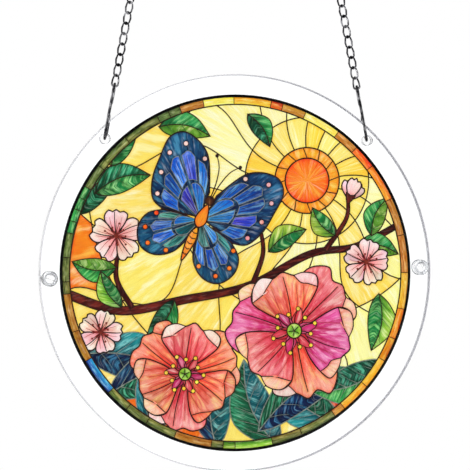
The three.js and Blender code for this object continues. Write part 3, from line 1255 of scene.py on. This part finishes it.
def streakyGlass():
    # opalescent glass as printed: two colours in streaks along the grain, brush lines, pale wisps,
    # and a deeper tone towards the leads
    group, entry, leave = newGroup("streakyGlass", {
        "Vector": "Colour Accent Grain", "Float": "Edge Accents Streaks Wisps Depth Fineness",
    }, {"Color": "Colour"})

    def streaks(kind, amount):
        # noise drawn out along the grain
        stretch, detail, low, high = streakKinds[kind]
        place = addNode(group, "VectorMath", {0: entry["Grain"], 1: stretch}, operation="MULTIPLY")
        cloud = addNode(group, "TexNoise", {
            "Vector": place, "Scale": entry["Fineness"], "Detail": detail, "Roughness": 0.6,
        })
        return calculate(group, "MULTIPLY", spread(group, cloud, low, high), entry[amount])

    base, accent = entry["Colour"], entry["Accent"]
    glass = blend(group, streaks("accent", "Accents"), base, accent)
    glass = blend(group, streaks("deep", "Streaks"), glass, base, "MULTIPLY")
    glass = blend(group, streaks("brush", "Streaks"), glass, brushTone, "MULTIPLY")
    glass = blend(group, streaks("wisp", "Wisps"), glass, blend(group, 0.55, accent, milkTone))
    nearLead = calculate(group, "MULTIPLY", spread(group, entry["Edge"], leadReach, 0.0), entry["Depth"])
    setInputs(group, leave, {"Colour": blend(group, nearLead, glass, base, "MULTIPLY")})
    return group


# each glass by its accents, streaks, wisps, depth, fineness and roughness
glassLooks = {
    "skyGlass": (0.55, 0.28, 0.55, 0.5, 0.55, 0.32),
    "amberGlass": (0.6, 0.6, 0.35, 0.6, 0.9, 0.32),
    "petalGlass": (0.6, 0.6, 0.45, 0.7, 1.2, 0.34),
    "blossomGlass": (0.5, 0.4, 0.5, 0.6, 1.6, 0.34),
    "leafGlass": (0.75, 0.6, 0.25, 0.6, 1.2, 0.33),
    "blueGlass": (0.8, 0.55, 0.35, 0.6, 1.2, 0.3),
    "barkGlass": (0.6, 0.6, 0.1, 0.5, 1.5, 0.36),
    "borderGlass": (0.8, 0.8, 0.3, 0.6, 1.7, 0.33),
}
# each lead by its screen colour, that of its lighter clouds, and its roughness
leadLooks = {
    "leadDark": ((34, 14, 10), (62, 32, 22), 0.4),
    "leadGrey": ((96, 104, 98), (150, 160, 146), 0.4),
    "veinRose": ((150, 26, 40), (196, 70, 66), 0.4),
    "veinGreen": ((14, 56, 34), (70, 120, 60), 0.4),
    "stamenRed": ((110, 30, 20), (140, 50, 30), 0.4),
    "blackRing": ((4, 4, 5), (12, 11, 11), 0.28),
}
leadClouds = {"Scale": 700, "Detail": 2, "Start": 0.35, "Full": 0.75}
filmGloss = 0.16  # the print behind the plates hardly mirrors


def filmMaterials():
    group = streakyGlass()
    materials = {}
    for name, (*amounts, roughness) in glassLooks.items():
        material, tree, shader = newMaterial(name, {"Roughness": roughness, "Specular IOR Level": filmGloss})
        inputs = dict(zip(("Accents", "Streaks", "Wisps", "Depth", "Fineness"), amounts))
        for socket in ("Colour", "Accent", "Grain", "Edge"):
            output = "Fac" if socket == "Edge" else "Vector"
            inputs[socket] = addNode(tree, "Attribute", {}, output, attribute_name="pane" + socket)
        setInputs(tree, shader, {"Base Color": addNode(tree, "Group", inputs, node_tree=group)})
        materials[name] = material
    for name, (dark, light, roughness) in leadLooks.items():
        clouds = {**leadClouds, "Under": (*linear(dark), 1), "Over": (*linear(light), 1)}
        values = {"Roughness": roughness, "Specular IOR Level": filmGloss}
        materials[name] = mottledMaterial(name, clouds, values)
    return materials


drawPicture()
makeFilm(filmMaterials())


# stage: a pale floor far below, soft lights and a white surround with one dark band behind the camera

stage = {
    "floorDrop": 0.65,
    "floorRadius": 6.6,
    "floorSides": 96,
    "floorTone": (0.34, 0.339, 0.345),
    "onMatt": 2.55,  # strength of the surround as matt surfaces receive it
    "white": 1.3,  # as polished surfaces mirror it
    "dark": 0.02,  # in the band
    "sides": 0.2,  # to the left, right, above and below, so that polished edges show
    "bandHalf": 0.46,  # half the band's width, as a sine
    "bandSoft": 0.1,
    "bandStart": (0.0, 0.35),  # from the side towards the camera, as a sine
    "sideSoft": (0.1, 0.45),
    "bandTilt": math.radians(45),
    # each lamp by its place, size and power
    "lamps": {"keyLight": ((-0.9, -1.2, 0.5), 0.6, 6), "fillLight": ((1.1, -0.9, 0.2), 0.8, 3)},
}


def makeFloor():
    selectNothing()
    bpy.ops.mesh.primitive_circle_add(
        vertices=stage["floorSides"], radius=stage["floorRadius"], fill_type="NGON",
        location=(0, 0, cadBox[0].z - stage["floorDrop"]),
    )
    floor = bpy.context.object
    floor.name = "floor"
    pale = newMaterial("paleFloor", {"Base Color": (*stage["floorTone"], 1), "Roughness": 0.8})[0]
    floor.data.materials.append(pale)


def makeSurround():
    world = bpy.data.worlds.new("surround")
    bpy.context.scene.world = world
    world.use_nodes = True
    tree = world.node_tree
    place = addNode(tree, "TexCoord", {}, "Generated")
    sight = addNode(tree, "LightPath", {}).node.outputs

    def towards(direction):
        return addNode(tree, "VectorMath", {0: place, 1: direction}, "Value", operation="DOT_PRODUCT")

    def choose(share, under, over):
        # a Mix node's inputs 2 and 3 are its two plain values
        return addNode(tree, "Mix", {0: share, 2: under, 3: over})

    turn, tilt = camera["azimuth"], stage["bandTilt"]
    slope = (-math.sin(tilt) * math.cos(turn), -math.sin(tilt) * math.sin(turn), math.cos(tilt))
    across = calculate(tree, "ABSOLUTE", towards(slope))
    ahead = towards((math.sin(turn), -math.cos(turn), 0))
    edge = spread(tree, across, stage["bandHalf"] + stage["bandSoft"], stage["bandHalf"])
    band = calculate(tree, "MULTIPLY", edge, spread(tree, ahead, *stage["bandStart"]))
    depth = calculate(tree, "ABSOLUTE", ahead)
    beside = spread(tree, depth, *stage["sideSoft"], stage["sides"], stage["white"])
    mirrored = choose(band, beside, stage["dark"])
    matt = calculate(tree, "GREATER_THAN", sight["Diffuse Depth"], 0.5)
    strength = choose(sight["Is Camera Ray"], choose(matt, mirrored, stage["onMatt"]), 1.0)
    setInputs(tree, tree.nodes["Background"], {"Color": (1, 1, 1, 1), "Strength": strength})


def makeLamp(name, location, size, power):
    data = bpy.data.lights.new(name, "AREA")
    data.energy = power
    data.size = size
    lamp = addObject(name, data)
    lamp.location = location
    lamp.rotation_euler = (discCentre - Vector(location)).to_track_quat("-Z", "Y").to_euler()


makeFloor()
makeSurround()
for name, values in stage["lamps"].items():
    makeLamp(name, *values)
bpy.context.scene.view_settings.view_transform = "Standard"
print("stage set")
